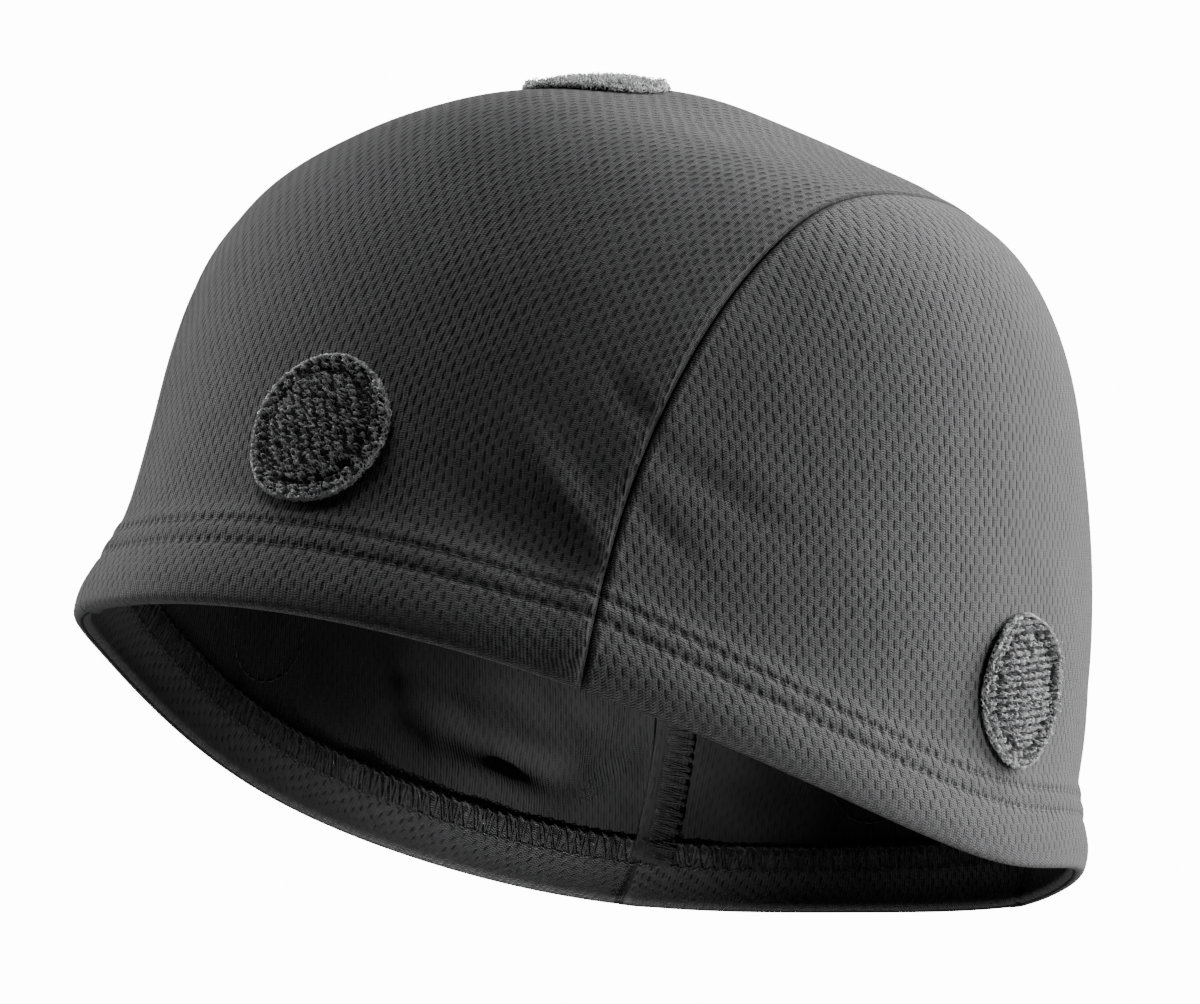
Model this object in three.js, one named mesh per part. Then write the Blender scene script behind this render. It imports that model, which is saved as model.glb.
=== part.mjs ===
// Helmet liner cap: three knit panels with a turned-up hem, and five round loop patches.
// Millimetres, +Z up, the wearer's face towards -Y and the wearer's left side towards +X.
// The cap keeps the form it has on an upright head. The origin is on the inside of the crown,
// under the middle of the top patch.
import * as THREE from 'three';

// Worn form, from the middle of the head to the outside of the cloth
const halfWidth = 78;
const frontReach = 94.2;
const backReach = 99.9;
const crownRise = 96.8;

// Cloth and its turned-up hem
const clothThickness = 1.2;
const hemFoldThickness = 1.1;
const hemHeight = 14.5;
const hemStep = 0.8;
const hemRollDepth = 0.6;
const hemRollHeight = 1;
const hemFlare = 6.3;
const hemFlareHeight = 12.6;

// Seams that join the panels, and the overlocked cloth left inside them
const panelHalfWidth = 55.4;
const seamGap = 0.3;
const seamDip = 0.7;
const seamDipWidth = 1.6;
const allowanceWidth = 5;
const allowanceThickness = 0.9;

// Round loop patches
const patchDiameter = 25;
const patchThickness = 2.2;
const patchBevel = 0.6;
const patchClearance = 0.3;
const patchHeight = 29;
const topPatchAngle = 82;
const sidePatchHeading = 93;

// How finely the forms are faceted
const hemRows = 3;
const crownRows = 34;
const panelColumns = 9;
const sideRows = 10;
const sideColumns = 30;
const patchSides = 30;

// How far the form stands outside a plain ellipse through its reach and its crown
const profileRows = [
  { elevation: -30, side: 0.995, front: 1.016, back: 0.994 },
  { elevation: 0, side: 1.0, front: 1.0, back: 1.0 },
  { elevation: 25, side: 1.049, front: 0.978, back: 1.015 },
  { elevation: 50, side: 1.123, front: 1.04, back: 1.014 },
  { elevation: 68, side: 1.002, front: 1.035, back: 1.033 },
  { elevation: 80, side: 1.004, front: 0.996, back: 1.003 },
  { elevation: 90, side: 1.0, front: 1.0, back: 1.0 },
];

// Where the rim lies all round: high on the forehead, low at the nape, and a little uneven, as
// limp cloth hangs. Headings turn from the face (0) to the wearer's left (90) and the nape (180).
const rimRows = [
  { heading: -180, elevation: -30 },
  { heading: -150, elevation: -33 },
  { heading: -120, elevation: -30.3 },
  { heading: -90, elevation: -20.2 },
  { heading: -60, elevation: -4.3 },
  { heading: -30, elevation: 2.2 },
  { heading: 0, elevation: 4 },
  { heading: 30, elevation: -1.3 },
  { heading: 60, elevation: -12.8 },
  { heading: 90, elevation: -21.5 },
  { heading: 120, elevation: -22.9 },
  { heading: 150, elevation: -27 },
  { heading: 180, elevation: -30 },
];

// Half width of the centre panel as a share of its widest, by the turn over the head from the
// face (0) past the crown (90) to the back (180)
const seamRows = [
  { turn: -30, share: 0.785 },
  { turn: 0, share: 0.829 },
  { turn: 30, share: 0.879 },
  { turn: 60, share: 1.0 },
  { turn: 90, share: 0.995 },
  { turn: 120, share: 0.927 },
  { turn: 150, share: 0.857 },
  { turn: 180, share: 0.762 },
  { turn: 225, share: 0.697 },
];

const toDegrees = THREE.MathUtils.radToDeg;
const toRadians = THREE.MathUtils.degToRad;

// Smooth curve through one column of a table
function curveThrough(rows, at, column, startEnding, endEnding) {
  const knots = rows.map((row) => row[at]);
  const values = rows.map((row) => row[column]);
  const curve = new THREE.CubicInterpolant(knots, values, 1, [0]);
  curve.settings = { endingStart: startEnding, endingEnd: endEnding };
  return (position) => curve.evaluate(THREE.MathUtils.clamp(position, knots[0], knots.at(-1)))[0];
}

const { ZeroCurvatureEnding: free, ZeroSlopeEnding: level, WrapAroundEnding: around } = THREE;
const fullness = {
  side: curveThrough(profileRows, 'elevation', 'side', free, level),
  front: curveThrough(profileRows, 'elevation', 'front', free, level),
  back: curveThrough(profileRows, 'elevation', 'back', free, level),
};
const rimElevation = curveThrough(rimRows, 'heading', 'elevation', around, around);
const seamShare = curveThrough(seamRows, 'turn', 'share', free, free);

// Unit direction at a heading and an elevation
function towards(heading, elevation) {
  const out = Math.cos(toRadians(elevation));
  return new THREE.Vector3(
    out * Math.sin(toRadians(heading)),
    -out * Math.cos(toRadians(heading)),
    Math.sin(toRadians(elevation)),
  );
}

// Unit direction at a turn over the head, leaning sideways off the mid plane
function overHead(turn, lean) {
  const upright = Math.cos(lean);
  return new THREE.Vector3(
    Math.sin(lean),
    -upright * Math.cos(toRadians(turn)),
    upright * Math.sin(toRadians(turn)),
  );
}

const headingOf = (direction) => toDegrees(Math.atan2(direction.x, -direction.y));
const elevationOf = (direction) => (
  toDegrees(Math.atan2(direction.z, Math.hypot(direction.x, direction.y)))
);

// Distance from the middle of the head to the outside of the cloth, without the hem's flare
function skinRadius(direction) {
  const elevation = elevationOf(direction);
  const heading = toRadians(headingOf(direction));
  const reachAt = (name, reach) => {
    const plain = Math.hypot(
      Math.cos(toRadians(elevation)) / reach,
      Math.sin(toRadians(elevation)) / crownRise,
    );
    return fullness[name](elevation) / plain;
  };
  const lengthwise = Math.cos(heading) > 0
    ? reachAt('front', frontReach)
    : reachAt('back', backReach);
  const crosswise = reachAt('side', halfWidth);
  return 1 / Math.hypot(Math.cos(heading) / lengthwise, Math.sin(heading) / crosswise);
}

// Height of a direction above the rim, along the cloth
function climbOf(direction) {
  const above = elevationOf(direction) - rimElevation(headingOf(direction));
  return toRadians(above) * skinRadius(direction);
}

// Point on the outside of the cloth, whose hem flares out towards the rim
function skinPoint(direction) {
  const heading = toRadians(headingOf(direction));
  const flare = hemFlare * Math.exp(-((climbOf(direction) / hemFlareHeight) ** 2));
  const point = direction.clone().multiplyScalar(skinRadius(direction));
  point.x += flare * Math.sin(heading);
  point.y -= flare * Math.cos(heading);
  return point;
}

// Outward normal of the cloth
function skinNormal(direction) {
  const probe = 0.002;
  const aside = new THREE.Vector3(direction.y, -direction.x, 0);
  if (aside.length() < probe) {
    aside.set(1, 0, 0);
  }
  aside.normalize();
  const along = new THREE.Vector3().crossVectors(direction, aside);
  const slope = (way) => {
    const ahead = skinPoint(direction.clone().addScaledVector(way, probe).normalize());
    const behind = skinPoint(direction.clone().addScaledVector(way, -probe).normalize());
    return ahead.sub(behind);
  };
  const normal = new THREE.Vector3().crossVectors(slope(aside), slope(along)).normalize();
  return normal.dot(direction) < 0 ? normal.negate() : normal;
}

// Direction at a climb above the rim, on a heading
function aboveRim(heading, climb) {
  let elevation = rimElevation(heading);
  for (let pass = 0; pass < 6; pass += 1) {
    const radius = skinRadius(towards(heading, elevation));
    elevation = rimElevation(heading) + toDegrees(climb / radius);
  }
  return towards(heading, elevation);
}

// Direction on the centre panel, at a turn over the head and a share of the way to its edge.
// The trim is what the edge stays short of the seam line.
function across(turn, share, trim) {
  const offset = share * (panelHalfWidth * seamShare(turn) - trim);
  let lean = 0;
  for (let pass = 0; pass < 16; pass += 1) {
    lean = Math.asin(offset / skinRadius(overHead(turn, lean)));
  }
  return overHead(turn, lean);
}

// Turn at which a line along the centre panel reaches a climb above the front or back rim
function turnAtClimb(share, trim, climb, end) {
  let under = end === 'front' ? -30 : 225;
  let over = 90;
  for (let pass = 0; pass < 30; pass += 1) {
    const middle = (under + over) / 2;
    if (climbOf(across(middle, share, trim)) > climb) {
      over = middle;
    } else {
      under = middle;
    }
  }
  return (under + over) / 2;
}

// The two faces of the cloth at a direction: its climb decides the hem's fold and rolled rim
function clothPoint(direction, climb, { dip = 0, extra = 0 } = {}) {
  const normal = skinNormal(direction);
  const outside = skinPoint(direction);
  const roll = hemRollDepth * Math.max(0, 1 - climb / hemRollHeight);
  const fold = climb <= hemHeight ? hemFoldThickness : 0;
  const thickness = clothThickness + fold + extra;
  const inside = outside.clone().addScaledVector(normal, roll - thickness);
  outside.addScaledVector(normal, -roll - dip);
  return { outside, inside };
}

// Closed body of cloth from rows of points with an outside and an inside
function clothBody(rows) {
  const numberAt = new Map();
  const outside = [];
  const inside = [];
  const numbers = rows.map((row) => row.map((point) => {
    const key = point.outside.toArray().map((value) => value.toFixed(3)).join(' ');
    if (!numberAt.has(key)) {
      numberAt.set(key, outside.length);
      outside.push(point.outside);
      inside.push(point.inside);
    }
    return numberAt.get(key);
  }));
  const triangles = [];
  const addTriangle = (a, b, c) => {
    if (a !== b && b !== c && c !== a) {
      triangles.push([a, b, c]);
    }
  };
  for (let row = 1; row < numbers.length; row += 1) {
    for (let column = 1; column < numbers[row].length; column += 1) {
      const [a, b] = [numbers[row - 1][column - 1], numbers[row - 1][column]];
      const [c, d] = [numbers[row][column], numbers[row][column - 1]];
      addTriangle(a, b, c);
      addTriangle(a, c, d);
    }
  }
  const behind = outside.length;
  const indices = [];
  const edges = new Set();
  triangles.forEach(([a, b, c]) => {
    indices.push(a, b, c, behind + a, behind + c, behind + b);
    [[a, b], [b, c], [c, a]].forEach(([from, to]) => edges.add(`${from} ${to}`));
  });
  edges.forEach((edge) => {
    const [from, to] = edge.split(' ').map(Number);
    if (!edges.has(`${to} ${from}`)) {
      indices.push(to, from, behind + from, to, behind + from, behind + to);
    }
  });
  return bodyGeometry([...outside, ...inside], indices);
}

// Indexed geometry with its faces turned outwards
function bodyGeometry(points, indices) {
  let volume = 0;
  for (let corner = 0; corner < indices.length; corner += 3) {
    const [a, b, c] = indices.slice(corner, corner + 3).map((number) => points[number]);
    volume += a.dot(new THREE.Vector3().crossVectors(b, c));
  }
  if (volume < 0) {
    indices.reverse();
  }
  const geometry = new THREE.BufferGeometry().setFromPoints(points);
  geometry.setIndex(indices);
  geometry.computeVertexNormals();
  return geometry;
}

// Climbs of the rows in the hem, from the rolled rim to just above the raw edge of the fold
const hemClimbs = [0];
for (let row = 0; row <= hemRows; row += 1) {
  hemClimbs.push(THREE.MathUtils.lerp(hemRollHeight, hemHeight, row / hemRows));
}
hemClimbs.push(hemHeight + hemStep);

// Centre panel, from the front rim over the crown to the back rim
function centrePanelGeometry() {
  const insets = [0, seamDipWidth, allowanceWidth, allowanceWidth + hemStep];
  const flat = panelHalfWidth - insets.at(-1);
  const offsets = insets.map((inset) => panelHalfWidth - inset);
  for (let column = 1; column < panelColumns; column += 1) {
    offsets.push(THREE.MathUtils.lerp(flat, -flat, column / panelColumns));
  }
  offsets.push(...insets.map((inset) => inset - panelHalfWidth).reverse());
  const columns = offsets.map((offset) => {
    const share = offset / panelHalfWidth;
    const inset = panelHalfWidth - Math.abs(offset);
    const seam = {
      dip: inset === 0 ? seamDip : 0,
      extra: inset <= allowanceWidth ? allowanceThickness : 0,
    };
    const lineAt = (turn, climb) => clothPoint(across(turn, share, seamGap / 2), climb, seam);
    const hem = (end) => hemClimbs.map((climb) => (
      lineAt(turnAtClimb(share, seamGap / 2, climb, end), climb)
    ));
    const first = turnAtClimb(share, seamGap / 2, hemClimbs.at(-1), 'front');
    const last = turnAtClimb(share, seamGap / 2, hemClimbs.at(-1), 'back');
    const crown = [];
    for (let row = 1; row < crownRows; row += 1) {
      crown.push(lineAt(THREE.MathUtils.lerp(first, last, row / crownRows), Infinity));
    }
    return [...hem('front'), ...crown, ...hem('back').reverse()];
  });
  return clothBody(columns);
}

// Side panel: a hem along the rim, then lines that fan out from the hem to the seam
function sidePanelGeometry(side) {
  const trim = -seamGap / 2;
  const edgeDirection = (climb, end) => across(turnAtClimb(side, trim, climb, end), side, trim);
  const hemTop = { front: turnAtClimb(side, trim, hemHeight, 'front') };
  hemTop.back = turnAtClimb(side, trim, hemHeight, 'back');
  const rimLength = skinPoint(edgeDirection(0, 'front')).distanceTo(
    skinPoint(edgeDirection(0, 'back')),
  );
  const columns = [];
  for (let column = 0; column <= sideColumns; column += 1) {
    const share = column / sideColumns;
    const atSeam = share === 0 || share === 1;
    const dip = atSeam ? seamDip : 0;
    const nearest = seamDipWidth / rimLength;
    const alongRim = atSeam ? share : THREE.MathUtils.clamp(
      (column - 1) / (sideColumns - 2),
      nearest,
      1 - nearest,
    );
    const hemDirection = (climb) => {
      const start = headingOf(edgeDirection(climb, 'front'));
      const end = headingOf(edgeDirection(climb, 'back'));
      return aboveRim(THREE.MathUtils.lerp(start, end, alongRim), climb);
    };
    const line = hemClimbs.slice(0, -1).map((climb) => (
      clothPoint(hemDirection(climb), climb, { dip })
    ));
    const from = hemDirection(hemHeight);
    const to = across(THREE.MathUtils.lerp(hemTop.front, hemTop.back, share), side, trim);
    const length = from.angleTo(to) * skinRadius(from);
    const firstShare = Math.min(hemStep / length, 1 / sideRows);
    const lastShare = Math.max(1 - seamDipWidth / length, 1 - 1 / sideRows);
    for (let row = 0; row <= sideRows; row += 1) {
      const reach = row === sideRows
        ? 1
        : THREE.MathUtils.lerp(firstShare, lastShare, row / (sideRows - 1));
      const direction = from.clone().lerp(to, reach).normalize();
      line.push(atSeam
        ? line[hemClimbs.length - 2]
        : clothPoint(direction, Infinity, { dip: row === sideRows ? seamDip : 0 }));
    }
    columns.push(line);
  }
  return clothBody(columns);
}

// Round loop patch: a flat outer face, and a back that follows the cloth at a small clearance
function patchGeometry(direction) {
  const normal = skinNormal(direction);
  const middle = skinPoint(direction);
  const aside = new THREE.Vector3().crossVectors(normal, new THREE.Vector3(0, 1, 0));
  if (aside.length() < 0.5) {
    aside.crossVectors(normal, new THREE.Vector3(0, 0, 1));
  }
  aside.normalize();
  const along = new THREE.Vector3().crossVectors(normal, aside);
  const radius = patchDiameter / 2;
  const onPatch = (reach, angle, height) => middle.clone()
    .addScaledVector(aside, reach * Math.cos(angle))
    .addScaledVector(along, reach * Math.sin(angle))
    .addScaledVector(normal, height);
  const onCloth = (reach, angle) => {
    let height = 0;
    for (let pass = 0; pass < 12; pass += 1) {
      const point = onPatch(reach, angle, height);
      height -= point.length() - skinPoint(point.clone().normalize()).length();
    }
    return onPatch(reach, angle, height + patchClearance);
  };
  const top = patchClearance + patchThickness;
  const rings = [
    (angle) => onPatch(0, angle, top),
    (angle) => onPatch(radius - patchBevel, angle, top),
    (angle) => onPatch(radius, angle, top - patchBevel),
    (angle) => onCloth(radius, angle),
    (angle) => onCloth(radius / 2, angle),
    (angle) => onCloth(0, angle),
  ];
  const points = [];
  const ringNumbers = rings.map((ringPoint, ring) => {
    const single = ring === 0 || ring === rings.length - 1;
    const numbers = [];
    for (let side = 0; side < patchSides; side += 1) {
      if (side === 0 || !single) {
        points.push(ringPoint((2 * Math.PI * side) / patchSides));
      }
      numbers.push(points.length - 1);
    }
    return numbers;
  });
  const indices = [];
  for (let ring = 1; ring < rings.length; ring += 1) {
    for (let side = 0; side < patchSides; side += 1) {
      const next = (side + 1) % patchSides;
      const [a, b] = [ringNumbers[ring - 1][side], ringNumbers[ring - 1][next]];
      const [c, d] = [ringNumbers[ring][next], ringNumbers[ring][side]];
      if (a !== b) {
        indices.push(a, b, d);
      }
      if (c !== d) {
        indices.push(b, c, d);
      }
    }
  }
  return bodyGeometry(points, indices);
}

// Named piece with a finish of its own
function piece(name, geometry, color, roughness) {
  const material = new THREE.MeshStandardMaterial({ color, roughness, metalness: 0 });
  const mesh = new THREE.Mesh(geometry, material);
  mesh.name = name;
  return mesh;
}

const topDirection = overHead(topPatchAngle, 0);
const patchDirections = {
  patch_top: topDirection,
  patch_front: aboveRim(0, patchHeight),
  patch_back: aboveRim(180, patchHeight),
  patch_left: aboveRim(sidePatchHeading, patchHeight),
  patch_right: aboveRim(-sidePatchHeading, patchHeight),
};

// The worn form is moved so that the inside of the crown under the top patch is at the origin
const topNormal = skinNormal(topDirection);
const crownSeat = skinPoint(topDirection).addScaledVector(topNormal, -clothThickness);
const wornForm = new THREE.Group();
wornForm.position.copy(crownSeat).negate();

wornForm.add(piece('centre_panel', centrePanelGeometry(), 0x232324, 0.95));
wornForm.add(piece('side_panel_left', sidePanelGeometry(1), 0x262627, 0.95));
wornForm.add(piece('side_panel_right', sidePanelGeometry(-1), 0x262627, 0.95));
Object.entries(patchDirections).forEach(([name, direction]) => {
  wornForm.add(piece(name, patchGeometry(direction), 0x2e2e30, 1));
});

const cap = new THREE.Group();
cap.add(wornForm);

export default cap;
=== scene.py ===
# Helmet liner cap in its worn form: three panels of mesh knit with a coverstitched hem and
# overlocked seams, and five sewn-on loop patches. The form is worked out in millimetres about the
# middle of the head, as in the CAD, and is then moved into the frame, in metres.
import math
from functools import reduce

import bpy
import numpy as np
from mathutils import Matrix, Vector, noise
from numpy.linalg import norm


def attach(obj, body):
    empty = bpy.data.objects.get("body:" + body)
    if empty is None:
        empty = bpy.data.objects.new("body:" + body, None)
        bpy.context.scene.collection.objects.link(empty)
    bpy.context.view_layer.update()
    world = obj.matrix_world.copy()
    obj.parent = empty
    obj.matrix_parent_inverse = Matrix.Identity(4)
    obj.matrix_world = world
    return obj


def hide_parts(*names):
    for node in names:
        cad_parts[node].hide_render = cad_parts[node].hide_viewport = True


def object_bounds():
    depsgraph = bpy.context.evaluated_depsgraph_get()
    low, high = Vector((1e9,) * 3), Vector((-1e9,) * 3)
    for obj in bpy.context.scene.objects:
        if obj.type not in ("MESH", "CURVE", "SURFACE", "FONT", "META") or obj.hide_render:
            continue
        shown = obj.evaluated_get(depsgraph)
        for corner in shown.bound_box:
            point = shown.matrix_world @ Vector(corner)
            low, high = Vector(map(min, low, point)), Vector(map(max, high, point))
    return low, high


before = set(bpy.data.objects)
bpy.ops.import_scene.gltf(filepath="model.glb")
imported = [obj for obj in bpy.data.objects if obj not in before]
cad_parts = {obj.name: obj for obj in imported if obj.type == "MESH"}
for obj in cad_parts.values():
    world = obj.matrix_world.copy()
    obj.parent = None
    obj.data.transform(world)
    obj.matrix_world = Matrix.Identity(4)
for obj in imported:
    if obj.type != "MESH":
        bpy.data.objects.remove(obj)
cad_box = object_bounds()


def table(columns, *rows):
    """Rows of a table, by the names of its columns."""
    return [dict(zip(columns.split(), row)) for row in rows]


# Worn form and cloth, in millimetres as in the CAD
HALF_WIDTH = 78.0
FRONT_REACH = 94.2
BACK_REACH = 99.9
CROWN_RISE = 96.8
CLOTH = 1.2
HEM_FOLD = 1.1
HEM_HEIGHT = 14.5
HEM_FLARE = 6.3
HEM_FLARE_HEIGHT = 12.6
PANEL_HALF_WIDTH = 55.4
TOP_PATCH_ANGLE = 82.0
SIDE_PATCH_HEADING = 93.0
PATCH_HEIGHT = 29.0
PATCH_RADIUS = 12.5

# Details that only the visual has. The needle rows are climbs above the rim, each with the depth
# that its thread draws the cloth in.
RIM_ROLL = 1.5
NEEDLE_ROWS = {10.0: 0.24, 13.5: 0.13}
NEEDLE_DENT = 0.6
NEEDLE_STITCH = 2.4
OVERLOCK_STITCH = 1.7
ALLOWANCE_WIDTH = 5.0
PATCH_RING = 9.7
CROWN_PEAK = 1.2
CROWN_PEAK_REACH = 17.0

# Seams: the rolled edge, the ridge that the allowances raise near the rim and its share on the
# wearer's right, the dip along the crown, and the centre panel's swell beside the seam
SEAM_ROLL = 0.7
SEAM_RIDGE = 3.2
RIGHT_RIDGE_SHARE = 0.15
SEAM_RIDGE_REACH = 11
SEAM_DIP = 0.5
SEAM_DIP_WIDTH = 10
SEAM_SWELL = {"inset": 2.6, "width": 2.4, "height": 0.25}
ALLOWANCE_BULK = {"width": 1.2, "height": 0.9}

# Swells of the hem's face: its fold, the cloth between the needle rows, and that above them
HEM_SWELLS = table(
    "climb width height", (5, 3.4, 0.3), (11.8, 1.1, 0.22), (HEM_HEIGHT + 0.4, 0.8, 0.2)
)
HEM_STEP = 0.3
HEM_EDGE_LIFT = 1.3

# Slack of the worn cloth, and crumple of the limp inside of the nape
RIPPLES = {
    "slack": table("height size shift", (0.35, 34, 3.0), (0.16, 15, 9.0)),
    "crumple": table("height size shift", (1.1, 12, 6.0), (0.5, 5.5, 2.0)),
}
CRUMPLE_FLOOR = -0.45

# Fullness of the form outside a plain ellipse, by elevation in degrees
PROFILE = {
    "elevation": (-30, 0, 25, 50, 68, 80, 90),
    "side": (0.995, 1.0, 1.049, 1.123, 1.002, 1.004, 1.0),
    "front": (1.016, 1.0, 0.978, 1.04, 1.035, 0.996, 1.0),
    "back": (0.994, 1.0, 1.015, 1.014, 1.033, 1.003, 1.0),
}

# Elevation of the rim by heading, from the face (0) to the wearer's left (90) and the nape (180)
RIM = {
    "heading": (-180, -150, -120, -90, -60, -30, 0, 30, 60, 90, 120, 150, 180),
    "elevation": (-30, -33, -30.3, -20.2, -4.3, 2.2, 4, -1.3, -12.8, -21.5, -22.9, -27, -30),
}

# Half width of the centre panel as a share of its widest, by the turn over the head
SEAM = {
    "turn": (-30, 0, 30, 60, 90, 120, 150, 180, 225),
    "share": (0.785, 0.829, 0.879, 1.0, 0.995, 0.927, 0.857, 0.762, 0.697),
}

# Soft folds of the limp cloth: where each lies, the way its ridge runs from the level, its half
# length and half width, and its height
FOLDS = table(
    "heading elevation tilt length width height",
    (196, -6, 62, 18, 5, 3.0),
    (212, -14, -48, 15, 4.5, 3.2),
    (184, -17, -70, 12, 4.5, 2.4),
    (170, -8, 50, 18, 5, 2.6),
    (160, -15, 15, 16, 5, 1.4),
    (226, -16, 20, 15, 4.5, 2.4),
    (240, -4, 70, 26, 7, 1.2),
    (138, -8, 66, 24, 7, 1.0),
    (28.5, 16.5, -58, 13, 3.4, 0.8),
    (26.5, 9.5, -44, 17, 8.5, -1.5),
    (34.5, 26.5, -58, 6, 2.6, -0.6),
    (37.5, 15, -42, 7, 2.8, -0.6),
    (44, 19.5, -24, 10, 3.6, -0.7),
)


def spline(knots, values, start="free", end="free"):
    """Smooth curve through two columns of a table. Its ends are free, level or around."""
    knots, values = np.array(knots, float), np.array(values, float)
    step = np.diff(knots)
    slope = np.diff(values) / step
    matrix, target = np.eye(len(knots)), np.zeros(len(knots))
    for k in range(1, len(knots) - 1):
        matrix[k, k - 1 : k + 2] = step[k - 1], 2 * (step[k - 1] + step[k]), step[k]
        target[k] = 6 * (slope[k] - slope[k - 1])
    if end == "level":
        matrix[-1, -2:] = step[-1], 2 * step[-1]
        target[-1] = -6 * slope[-1]
    if start == "around":
        matrix[0, [0, 1, -2, -1]] = 2 * step[0], step[0], step[-1], 2 * step[-1]
        target[0] = 6 * (slope[0] - slope[-1])
        matrix[-1, [0, -1]] = 1, -1
    bend = np.linalg.solve(matrix, target)

    def curve(at):
        at = np.clip(at, knots[0], knots[-1])
        k = np.clip(np.searchsorted(knots, at) - 1, 0, len(step) - 1)
        a, b = (knots[k + 1] - at) / step[k], (at - knots[k]) / step[k]
        bow = (a**3 - a) * bend[k] + (b**3 - b) * bend[k + 1]
        return a * values[k] + b * values[k + 1] + bow * step[k] ** 2 / 6

    return curve


fullness = {
    name: spline(PROFILE["elevation"], PROFILE[name], end="level")
    for name in ("side", "front", "back")
}
rim_elevation = spline(RIM["heading"], RIM["elevation"], start="around")
seam_share = spline(SEAM["turn"], SEAM["share"])


def unit(vectors):
    return vectors / norm(vectors, axis=-1, keepdims=True)


def join(*parts):
    """Numbers side by side, as points or rows."""
    return np.stack(parts, axis=-1)


def turned_from(level, normal, angle):
    """Way at an angle in degrees from a level one round a normal, and the way across it."""
    angle = math.radians(angle)
    way = math.cos(angle) * level + math.sin(angle) * np.cross(normal, level)
    return way, np.cross(normal, way)


def smooth_step(value, low, high):
    share = np.clip((value - low) / (high - low), 0, 1)
    return share * share * (3 - 2 * share)


def swell(value, middle, width):
    """Bell curve that is 1 at its middle."""
    return np.exp(-(((value - middle) / width) ** 2))


def towards(heading, elevation):
    """Unit directions at headings and elevations, in degrees."""
    heading, elevation = np.radians(heading), np.radians(elevation)
    level = np.cos(elevation)
    parts = (level * np.sin(heading), -level * np.cos(heading), np.sin(elevation) + 0 * heading)
    return join(*np.broadcast_arrays(*parts))


def over_head(turn, lean):
    """Unit directions at turns over the head, in degrees, leaning sideways by lean radians."""
    turn = np.radians(turn)
    upright = np.cos(lean)
    return join(np.sin(lean), -upright * np.cos(turn), upright * np.sin(turn))


def heading_of(direction):
    """Heading in degrees, from 0 at the face to 360."""
    return np.degrees(np.arctan2(direction[..., 0], -direction[..., 1])) % 360


def from_face(heading):
    """The same heading, from -180 to 180."""
    return (heading + 180) % 360 - 180


def elevation_of(direction):
    level = np.hypot(direction[..., 0], direction[..., 1])
    return np.degrees(np.arctan2(direction[..., 2], level))


def rim_at(heading):
    return rim_elevation(from_face(heading))


def skin_radius(direction):
    """Distance from the middle of the head to the cloth, without the hem's flare."""
    elevation = elevation_of(direction)
    heading = np.radians(heading_of(direction))
    rise = np.sin(np.radians(elevation)) / CROWN_RISE

    def reach(name, length):
        return fullness[name](elevation) / np.hypot(np.cos(np.radians(elevation)) / length, rise)

    lengthwise = np.where(
        np.cos(heading) > 0, reach("front", FRONT_REACH), reach("back", BACK_REACH)
    )
    crosswise = reach("side", HALF_WIDTH)
    return 1 / np.hypot(np.cos(heading) / lengthwise, np.sin(heading) / crosswise)


def climb_of(direction):
    """Height above the rim, along the cloth."""
    above = elevation_of(direction) - rim_at(heading_of(direction))
    return np.radians(above) * skin_radius(direction)


def skin_point(direction):
    """Point on the outside of the smooth cloth, whose hem flares out towards the rim."""
    heading = np.radians(heading_of(direction))
    flare = HEM_FLARE * swell(climb_of(direction), 0, HEM_FLARE_HEIGHT)
    outward = join(np.sin(heading), -np.cos(heading), 0 * heading)
    return direction * skin_radius(direction)[..., None] + outward * flare[..., None]


def skin_normal(direction):
    """Outward normal of the smooth cloth."""
    probe = 0.002
    aside = join(direction[..., 1], -direction[..., 0], 0 * direction[..., 0])
    at_pole = norm(aside, axis=-1, keepdims=True) < probe
    aside = unit(np.where(at_pole, [1, 0, 0], aside))
    along = np.cross(direction, aside)
    slopes = [
        skin_point(unit(direction + way * probe)) - skin_point(unit(direction - way * probe))
        for way in (aside, along)
    ]
    normal = unit(np.cross(*slopes))
    facing = np.sum(normal * direction, axis=-1, keepdims=True)
    return normal * np.where(facing < 0, -1, 1)


def above_rim(heading, climb):
    """Directions at climbs above the rim, on headings."""
    heading, climb = np.broadcast_arrays(heading, climb)
    elevation = rim_at(heading)
    for _ in range(6):
        elevation = rim_at(heading) + np.degrees(climb / skin_radius(towards(heading, elevation)))
    return towards(heading, elevation)


def across(turn, share, trim=0):
    """Directions on the centre panel, at turns and at shares of the way to its edge."""
    turn, share = np.broadcast_arrays(turn, share)
    offset = share * (PANEL_HALF_WIDTH * seam_share(turn) - trim)
    lean = 0 * offset
    for _ in range(14):
        lean = np.arcsin(offset / skin_radius(over_head(turn, lean)))
    return over_head(turn, lean)


def turns_at(climbs, share, end):
    """Turns at which a line along the centre panel reaches climbs above its front or back rim."""
    turns = np.linspace(-30, 90, 241) if end == "front" else np.linspace(225, 90, 271)
    return np.interp(climbs, climb_of(across(turns, share)), turns)


def run_along(points):
    """Length along a line of points, from its first."""
    return np.insert(np.cumsum(norm(np.diff(points, axis=0), axis=-1)), 0, 0)


# Length round the rim, by heading from the nape over the wearer's right
RIM_HEADINGS = np.linspace(-180, 180, 1441)
rim_lengths = run_along(skin_point(above_rim(RIM_HEADINGS, 0.0)))
stitch_count = round(rim_lengths[-1] / NEEDLE_STITCH)
stitch_length = rim_lengths[-1] / stitch_count


def rim_run(heading):
    """Length round the rim from the nape, which grows on past a full turn."""
    turns = np.floor((heading + 180) / 360)
    return np.interp(heading - 360 * turns, RIM_HEADINGS, rim_lengths) + turns * rim_lengths[-1]


def rim_heading(run):
    """Heading at a length round the rim."""
    return np.interp(run % rim_lengths[-1], rim_lengths, RIM_HEADINGS)


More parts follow.
